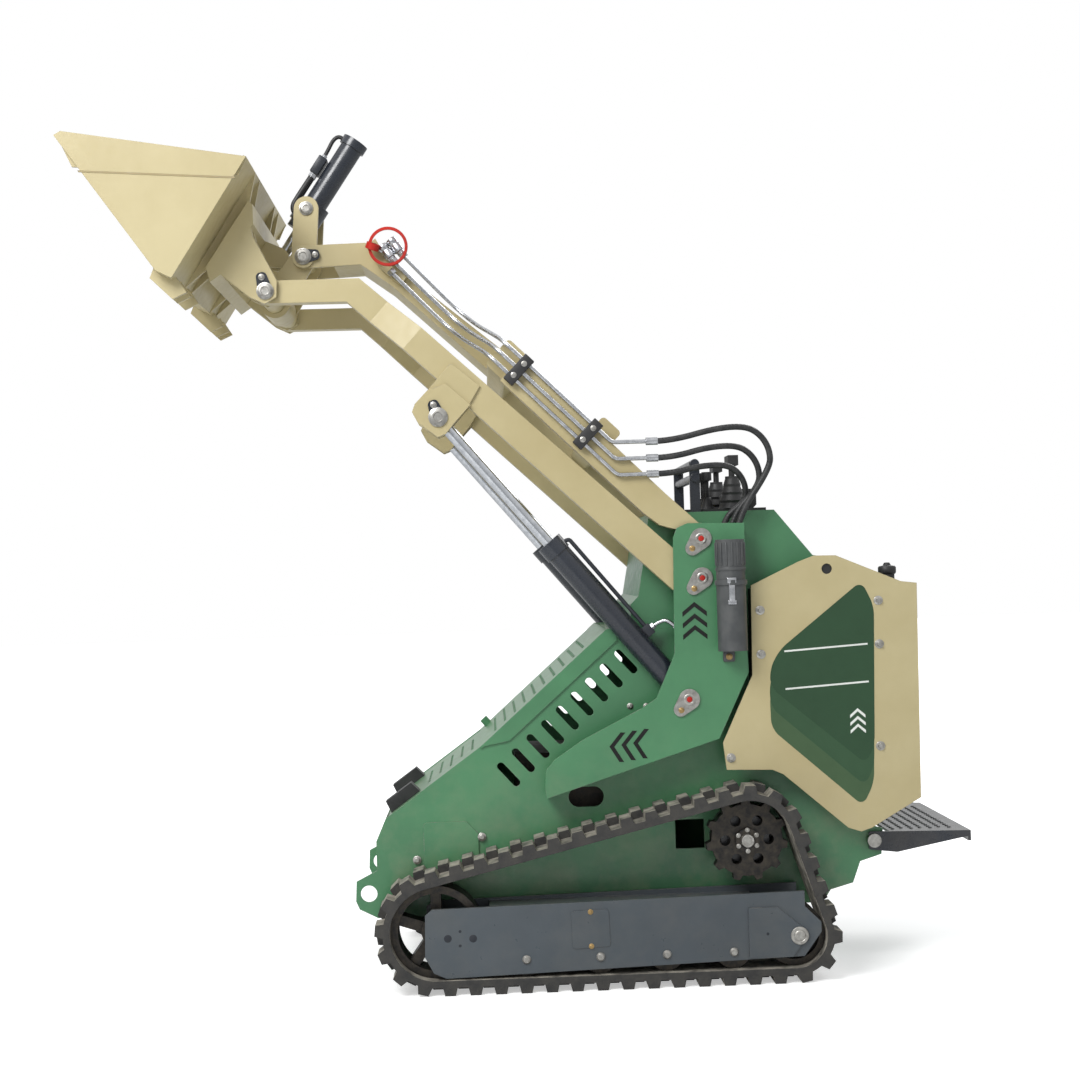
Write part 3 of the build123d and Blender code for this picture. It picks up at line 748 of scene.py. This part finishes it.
# ---------------------------------------------------------------- front lines
# The tubes run on from the clamp, step inwards over the cross box and along the
# beam, and end in two quick couplings. A red plastic dust cap hangs on its ring.
front_lines, couplings, dust_cap = bmesh.new(), bmesh.new(), bmesh.new()
coupling_axis, line_radius = Vector((-0.60, 0, 0.80)), 0.006
line_bends = [
    (24, line_y),
    (-20, line_y),
    (-60, -330),
    (-120, -200),
    (-190, -146),
    (-290, -160),
]
for above, end_x, end_z in ((86, -985, 2128), (57, -1012, 2110), (28, -1020, 2078)):
    bends = [beside(link_line, along, above, y) for along, y in line_bends]
    pipe(front_lines, [*bends, drawn(end_x, -166, end_z)], line_radius)
    foot = drawn(end_x, -164, end_z)
    hexagon(couplings, foot, coupling_axis, 0.024, 0.016)
    if above > 30:
        lathe(
            couplings,
            [
                (0, 0.014),
                (0.0125, 0.014),
                (0.0125, 0.022),
                (0.0165, 0.024),
                (0.0165, 0.046),
                (0.0150, 0.048),
                (0.0150, 0.052),
                (0.0165, 0.054),
                (0.0165, 0.066),
                (0.0145, 0.069),
                (0.0090, 0.069),
                (0.0090, 0.060),
                (0, 0.060),
            ],
            foot,
            coupling_axis,
        )
finished("front_lines", front_lines, bright_steel, "upper_link")
finished("quick_couplings", couplings, bright_steel, "upper_link")
lathe(
    dust_cap,
    [
        (0.0500, -0.0035),
        (0.0575, -0.0035),
        (0.0590, -0.0020),
        (0.0590, 0.0020),
        (0.0575, 0.0035),
        (0.0500, 0.0035),
        (0.0500, -0.0035),
    ],
    drawn(-1033, -184, 2158),
    (0, 1, 0),
    steps=64,
)
lathe(
    dust_cap,
    [
        (0, 0.0),
        (0.0190, 0.0),
        (0.0205, 0.0015),
        (0.0205, 0.0200),
        (0.0175, 0.0200),
        (0.0175, 0.0040),
        (0, 0.0040),
    ],
    drawn(-1082, -182, 2150),
    (0.35, -0.2, 0.9),
    steps=36,
)
finished("dust_cap", dust_cap, red_paint, "upper_link")


# ---------------------------------------------------------------- pins and keepers
# Each pivot pin is ground steel with a lead-in at its end. A dark keeper plate,
# held by one screw, stops it from turning.
def pin_end(pins, keepers, at, screw_at, face, side, radius=0.021):
    """A pin's stepped end, and the keeper plate beside it."""
    place = drawn(at[0], side * face, at[1])
    out = (0, side, 0)
    lathe(
        pins,
        [
            (0, 0),
            (radius + 0.004, 0),
            (radius + 0.004, 0.0045),
            (radius, 0.0055),
            (radius, 0.0085),
            (radius - 0.002, 0.0100),
            (radius * 0.55, 0.0100),
            (radius * 0.50, 0.0080),
            (0, 0.0080),
        ],
        place,
        out,
        steps=40,
    )
    if screw_at is None:
        return
    here, there = Vector(at), Vector(screw_at)
    run = there - here
    aside = Vector((-run.y, run.x)).normalized()
    wide, slim, thick = 22, 14, 4
    corners = [
        here + aside * wide,
        here - aside * wide,
        there - aside * slim + run.normalized() * slim,
        there + aside * slim + run.normalized() * slim,
    ]
    cut_film(keepers, corners, side, face, thick, rounding=11)
    screw(pins, drawn(screw_at[0], side * (face + thick), screw_at[1]), out, 0.010)


arm_pins, bucket_pins, link_pins, trunnions = (bmesh.new() for _ in range(4))
arm_keepers, bucket_keepers, link_keepers = (bmesh.new() for _ in range(3))
arm_face, hinge_face, lever_face, trunnion_face = 409, 349, 124, 100
arm_pin, hinge_pin, lever_pin = (-894, 1627), (-1382, 2010), (-1291, 2145)
for side in (left, right):
    pin_end(arm_pins, arm_keepers, arm_pin, (-906, 1662), arm_face, side, 0.024)
    pin_end(bucket_pins, bucket_keepers, hinge_pin, (-1391, 2050), hinge_face, side)
    pin_end(link_pins, link_keepers, lever_pin, (-1255, 2149), lever_face, side)
    pin_end(trunnions, None, (-1280, 2294), None, trunnion_face, side, 0.017)
finished("bracket_pins", arm_pins, zinc, "arms")
finished("bracket_keepers", arm_keepers, enamel_dark, "arms")
finished("bucket_pins", bucket_pins, zinc, "bucket")
finished("bucket_keepers", bucket_keepers, enamel_dark, "bucket")
finished("link_pins", link_pins, zinc, "upper_link")
finished("link_keepers", link_keepers, enamel_dark, "upper_link")
finished("trunnion_ends", trunnions, zinc, "tilt_barrel")


# ---------------------------------------------------------------- cylinders
# The barrels are honed tube in dark blue-black enamel. The rods are ground and
# hard chromed, and slide bright and clean out of the gland.
enamel = sprayed(
    "dark enamel",
    (0.020, 0.025, 0.036),
    (0.013, 0.016, 0.023),
    (0.16, 0.14, 0.11),
    roughness=0.26,
    chips=(0.10, 0.10, 0.10),
)
finish_nodes(
    enamel,
    "lift_barrel_left",
    "lift_barrel_right",
    "tilt_barrel",
    "platform",
    "grab_bars",
    "drive_motors",
)
chrome = plated("hard chrome", (0.60, 0.62, 0.65), (0.42, 0.44, 0.47), 0.13)
finish_nodes(chrome, "lift_rod_left", "lift_rod_right", "tilt_rod")

lift_line = (Vector((-201, 799)), Vector((-0.6418, 0.7668)), Vector((0.7668, 0.6418)))
lift_run = level(lift_line[1])
feed_route = [(574, 30), (574, 50), (552, 50), (400, 48), (240, 47), (214, 47)]
barrel_middle = 357
for side, hand in ((left, "left"), (right, "right")):
    feed, feed_ends = bmesh.new(), bmesh.new()
    y = side * barrel_middle
    pipe(feed, [beside(lift_line, *at, y) for at in feed_route], 0.0062)
    clip = beside(lift_line, 222, 46, y)
    block(feed, (0.034, 0.022, 0.026), clip, 0.003, axis_x=lift_run)
    clip_top = beside(lift_line, 222, 57, y)
    hexagon(feed_ends, clip_top, (0.77, 0, 0.64), 0.018, 0.012)
    bends = [(222, 62, 0), (218, 92, 0), (205, 108, 6), (172, 112, 14)]
    pipe(
        feed_ends,
        [beside(lift_line, *at, y + side * out) for *at, out in bends],
        0.0058,
    )
    hexagon(
        feed_ends,
        beside(lift_line, 182, 112, y + side * 12),
        beside(lift_line, 0, 0, 0) - beside(lift_line, 1, 0, 0),
        0.016,
        0.014,
    )
    barrel = "lift_barrel_" + hand
    finished("lift_pipe_" + hand, feed, enamel_dark, barrel)
    finished("lift_fitting_" + hand, feed_ends, bright_steel, barrel)

# The tilt cylinder's line starts at its trunnion, and across it is ahead.
tilt_line = (
    Vector((-1280, 2294)),
    Vector((0.5604, 0.8282)),
    Vector((-0.8282, 0.5604)),
)
tilt_run = level(tilt_line[1])
tilt_hoses, tilt_valve, tilt_fittings = bmesh.new(), bmesh.new(), bmesh.new()
for y in (-16, 16):
    feed_end = beside(tilt_line, 104, 55, y * 0.8)
    bends = [beside(tilt_line, *at, y) for at in ((-22, 34), (-14, 54), (30, 56))]
    pipe(tilt_hoses, [*bends, feed_end], 0.0085)
    nut = beside(tilt_line, 100, 55, y * 0.8)
    hexagon(tilt_fittings, nut, tilt_run, 0.019, 0.014)
valve = beside(tilt_line, 142, 54, 0)
block(tilt_valve, (0.058, 0.052, 0.028), valve, 0.003, axis_x=tilt_run)
top_route = [(168, 56), (196, 57), (236, 62), (256, 50), (252, 34)]
pipe(tilt_hoses, [beside(tilt_line, *at, 0) for at in top_route], 0.0062)
hexagon(tilt_fittings, beside(tilt_line, 169, 56, 0), tilt_run, 0.015, 0.012)
finished("tilt_hoses", tilt_hoses, black_plastic, "tilt_barrel")
finished("tilt_valve", tilt_valve, enamel_dark, "tilt_barrel")
finished("tilt_fittings", tilt_fittings, bright_steel, "tilt_barrel")


# ---------------------------------------------------------------- canister
# The document canister on the left tower is a moulded tube with a ribbed cap,
# held shut by a spring-steel latch.
canister_plastic = moulding(
    "canister plastic", (0.060, 0.064, 0.066), (0.095, 0.098, 0.098), 0.4
)
finish_nodes(canister_plastic, "canister")
latch = bmesh.new()
canister_x, canister_y, latch_y = -77, -455, -498
lathe(
    latch,
    [
        (0.0415, -0.006),
        (0.0440, -0.006),
        (0.0440, 0.006),
        (0.0415, 0.006),
        (0.0415, -0.006),
    ],
    drawn(canister_x, canister_y, 1130),
    (0, 0, 1),
    steps=48,
)
block(latch, (0.017, 0.004, 0.072), drawn(-80, latch_y, 1105), 0.0015)
block(latch, (0.026, 0.005, 0.016), drawn(-80, latch_y, 1136), 0.0018)
block(latch, (0.024, 0.005, 0.012), drawn(-80, latch_y, 1074), 0.0018)
finished("canister_latch", latch, bright_steel, "machine")
cap_ribs, foot_screw = bmesh.new(), bmesh.new()
rib_count = 16
for index in range(rib_count):
    turn = 2 * math.pi * index / rib_count
    outward = Vector((math.cos(turn), math.sin(turn), 0))
    block(
        cap_ribs,
        (0.004, 0.006, 0.066),
        drawn(canister_x, canister_y, 1211) + outward * 0.0418,
        0.0012,
        axis_x=outward,
        axis_y=(-outward.y, outward.x, 0),
    )
lathe(
    cap_ribs,
    [
        (0.0405, 0),
        (0.0432, 0),
        (0.0437, 0.002),
        (0.0437, 0.007),
        (0.0432, 0.009),
        (0.0405, 0.009),
        (0.0405, 0),
    ],
    drawn(canister_x, canister_y, 1164),
    (0, 0, 1),
    steps=48,
)
block(cap_ribs, (0.034, 0.010, 0.036), drawn(-84, -414, 921), 0.004)
screw(foot_screw, drawn(-84, -419, 918), (0, -1, 0), 0.010)
finished("canister_ribs", cap_ribs, canister_plastic, "machine")
finished("canister_screw", foot_screw, brass, "machine")


# ---------------------------------------------------------------- undercarriage
# Each track runs on a welded frame in grey enamel over steel rollers and idlers,
# driven by a toothed sprocket on the motor.
frame_paint = sprayed(
    "frame enamel",
    (0.066, 0.082, 0.096),
    (0.048, 0.060, 0.070),
    (0.24, 0.22, 0.18),
    roughness=0.34,
    chips=(0.16, 0.15, 0.14),
    dirt=0.10,
)
finish_nodes(frame_paint, "track_frame_left", "track_frame_right")
cast_steel = plated("worn steel", (0.035, 0.034, 0.034), (0.085, 0.075, 0.062), 0.46)
finish_nodes(
    cast_steel, "sprockets", "track_rollers", "front_idlers", "rear_idlers", "engine"
)
finish_nodes(zinc, "platform_pins")

track_rubber = surface("track rubber", 0.72)
track_coords = node(track_rubber, "ShaderNodeTexCoord")
track_cloud = mottle(track_rubber, 24.0, 8.0)
track_side = node(
    track_rubber,
    "ShaderNodeVectorMath",
    (),
    {0: track_coords.outputs["Normal"]},
    operation="ABSOLUTE",
).outputs["Vector"]
track_flank = node(
    track_rubber, "ShaderNodeSeparateXYZ", (), {0: track_side}
).outputs["Y"]
track_dust = times(
    track_rubber,
    between(track_rubber, track_flank, 0.75, 0.25, 0.10, 1.0),
    between(track_rubber, track_cloud, 0.34, 0.62, 0.15, 0.95),
)
join(
    track_rubber,
    blended(track_rubber, track_dust, (0.016, 0.016, 0.017), (0.40, 0.37, 0.31)),
    "Base Color",
)
join(
    track_rubber,
    between(track_rubber, track_cloud, 0.3, 0.7, 0.58, 0.88),
    "Roughness",
)
grained(track_rubber, mottle(track_rubber, 160.0, 6.0), 0.5, 0.0016, rounding=0.0025)
finish_nodes(track_rubber, "track_left", "track_right")


# ---------------------------------------------------------------- track frame fittings
# Domed screws hold the rollers' shafts, a turned boss holds the idler's axle, and
# a small hatch with two brass screws covers the tensioner's grease fitting.
shaft_ends, frame_hatch, hatch_brass, hole_shade_discs = (bmesh.new() for _ in range(4))
roller_shafts, shaft_height = (-690, -482, -295, -106), 92
motor_x, motor_z, motor_ring = -51, 395, 30
hatch, hatch_thickness = [(-562, 222), (-456, 226), (-453, 121), (-559, 117)], 2.2
for side in (left, right):
    out = (0, side, 0)
    for x in roller_shafts:
        lathe(
            shaft_ends,
            [(0, 0), (0.0125, 0), (0.0125, 0.003), (0.0085, 0.0075), (0, 0.0085)],
            drawn(x, side * cheek_face, shaft_height),
            out,
            steps=24,
        )
    lathe(
        shaft_ends,
        [
            (0, 0),
            (0.0255, 0),
            (0.0255, 0.0012),
            (0.0240, 0.0028),
            (0.0170, 0.0028),
            (0.0155, 0.0016),
            (0.0140, 0.0030),
            (0.0120, 0.0038),
            (0, 0.0038),
        ],
        drawn(80, side * idler_face, 132),
        out,
        steps=40,
    )
    lathe(
        shaft_ends,
        [
            (0, 0),
            (0.0210, 0),
            (0.0210, 0.004),
            (0.0175, 0.009),
            (0.0120, 0.009),
            (0.0120, 0.004),
            (0, 0.004),
        ],
        drawn(motor_x, side * motor_face, motor_z),
        out,
        steps=36,
    )
    for index in range(6):
        turn = math.radians(60 * index + 30)
        x = motor_x + motor_ring * math.cos(turn)
        z = motor_z + motor_ring * math.sin(turn)
        screw(shaft_ends, drawn(x, side * motor_face, z), out, 0.007)
    cut_film(frame_hatch, hatch, side, cheek_face, hatch_thickness, rounding=9)
    for z in (219, 123):
        face = side * (cheek_face + hatch_thickness)
        screw(hatch_brass, drawn(-507, face, z), out, 0.008)
    # Thin dark enamel discs paint the shade inside the frame's open holes.
    for x, z, radius, face in (
        (-874, 177, 0.0042, cheek_face),
        (-875, 137, 0.0042, cheek_face),
        (-10, 140, 0.0042, idler_face),
        (-909, 158, 0.011, cheek_face),
        (-838, 156, 0.011, cheek_face),
    ):
        lathe(
            hole_shade_discs,
            [(0, 0), (radius, 0), (radius * 0.92, 0.0005), (0, 0.0005)],
            drawn(x, side * face, z),
            out,
            steps=20,
        )
finished("shaft_ends", shaft_ends, zinc, "machine")
finished("frame_hatches", frame_hatch, frame_paint, "machine")
finished("hatch_screws", hatch_brass, brass, "machine")
# The hole discs are painted shade, not fittings.
finished("frame_hole_shade", hole_shade_discs, enamel_dark, "machine")


# ---------------------------------------------------------------- operator's end
# A moulded knee pad and a tread plate on the step face the operator. The step has
# rows of pressed studs, and a black cap closes the oil tank on the left.
pad_rubber = moulding("pad rubber", (0.014, 0.014, 0.014), (0.028, 0.027, 0.026), 0.62)
finish_nodes(pad_rubber, "knee_pad")
studs, step_top = bmesh.new(), 385.9
stud = [(0.0062, 0), (0.0048, 0.0024), (0.0028, 0.0030), (0, 0.0030)]
rows, columns, row_gap, column_gap = 7, 17, 28, 30
for row in range(rows):
    for column in range(columns):
        x = 404 + row * row_gap
        y = (column - 8) * column_gap + 15 * (row % 2) - 7
        lathe(studs, stud, drawn(x, y, step_top), (0, 0, 1), steps=10)
finished("step_studs", studs, enamel, "platform")
tank_cap = bmesh.new()
lathe(
    tank_cap,
    [
        (0, 0),
        (0.021, 0),
        (0.021, 0.020),
        (0.024, 0.022),
        (0.026, 0.026),
        (0.026, 0.040),
        (0.023, 0.044),
        (0.012, 0.046),
        (0.008, 0.054),
        (0, 0.055),
    ],
    drawn(396, -330, 1118),
    (0, 0, 1),
    steps=32,
)
finished("tank_cap", tank_cap, black_plastic, "machine")


# ---------------------------------------------------------------- bucket
# The bucket is folded and welded plate in sand paint. A darker sand strip along
# each side marks the seam where the upper strip is welded on, and paints the shade of
# its step.
finish_nodes(sand_paint, "bucket")
seam_shade_paint = sprayed(
    "sand seam shade", (0.36, 0.29, 0.14), (0.28, 0.22, 0.10), (0.40, 0.34, 0.22), 0.5
)
shade_strips = bmesh.new()
for side in (left, right):
    # This darker strip is painted shade along the step of the seam.
    shade_outline = [(-1872, 2333), (-1436, 2305), (-1436, 2299), (-1869, 2327)]
    cut_film(shade_strips, shade_outline, side, bucket_face, 0.4)
finished("bucket_seam_shade", shade_strips, seam_shade_paint, "bucket")


# ---------------------------------------------------------------- floor and light
# The machine stands on a pale studio floor, under two soft lamps and an even sky
# that looks white from the camera.
floor_mesh = bmesh.new()
floor_reaches, floor_level = 30.0, -0.0005
bmesh.ops.create_grid(floor_mesh, x_segments=1, y_segments=1, size=floor_reaches)
bmesh.ops.translate(floor_mesh, verts=floor_mesh.verts, vec=(0, 0, floor_level))
floor_data = bpy.data.meshes.new("floor")
floor_mesh.to_mesh(floor_data)
floor_mesh.free()
floor = bpy.data.objects.new("floor", floor_data)
bpy.context.scene.collection.objects.link(floor)
floor_paint = surface("floor paint", 0.9)
floor_shader = floor_paint.node_tree.nodes["Principled BSDF"]
floor_shader.inputs["Base Color"].default_value = (0.9, 0.9, 0.9, 1.0)
floor_shader.inputs["Emission Color"].default_value = (1.0, 1.0, 1.0, 1.0)
seen = node(floor_paint, "ShaderNodeLightPath").outputs["Is Camera Ray"]
floor_place = node(floor_paint, "ShaderNodeTexCoord").outputs["Object"]
floor_reach = node(
    floor_paint, "ShaderNodeVectorMath", (), {0: floor_place}, operation="LENGTH"
).outputs["Value"]
join(
    floor_paint,
    times(floor_paint, seen, between(floor_paint, floor_reach, 1.4, 4.5, 0.46, 1.0)),
    "Emission Strength",
)
floor_data.materials.append(floor_paint)

sky = bpy.data.worlds.new("sky")
bpy.context.scene.world = sky
sky.use_nodes = True
sky.node_tree.nodes.clear()
sky_paths = node(sky, "ShaderNodeLightPath").outputs
sky_way = node(sky, "ShaderNodeTexCoord").outputs["Generated"]
sky_height = node(sky, "ShaderNodeSeparateXYZ", (), {0: sky_way}).outputs["Z"]
sky_gloss = times(
    sky, sky_paths["Is Glossy Ray"], between(sky, sky_height, -0.2, 0.7, 0.15, 1.0)
)
sky_shown = node(
    sky,
    "ShaderNodeMath",
    (),
    {0: sky_paths["Is Camera Ray"], 1: sky_gloss},
    operation="MAXIMUM",
).outputs["Value"]
sky_soft = node(
    sky, "ShaderNodeBackground", {"Color": (0.95, 0.98, 1.0, 1.0), "Strength": 0.46}
).outputs["Background"]
sky_white = node(
    sky, "ShaderNodeBackground", {"Color": (1.0, 1.0, 1.0, 1.0), "Strength": 1.0}
).outputs["Background"]
sky_mix = node(
    sky, "ShaderNodeMixShader", (), {"Fac": sky_shown, 1: sky_soft, 2: sky_white}
).outputs["Shader"]
node(sky, "ShaderNodeOutputWorld", (), {"Surface": sky_mix})


def lamp(name, watts, size, at, towards):
    """A soft square lamp that faces a point."""
    data = bpy.data.lights.new(name, "AREA")
    data.energy = watts
    data.size = size
    made = bpy.data.objects.new(name, data)
    bpy.context.scene.collection.objects.link(made)
    made.location = at
    aim = (Vector(towards) - Vector(at)).to_track_quat("-Z", "Y")
    made.rotation_euler = aim.to_euler()


lamp("key_lamp", 300.0, 2.6, (-2.6, -4.4, 5.0), (0.1, -0.1, 0.9))
lamp("back_lamp", 120.0, 2.6, (2.8, 3.2, 5.2), (0.1, 0.0, 0.9))

bpy.context.scene.view_settings.view_transform = "Standard"
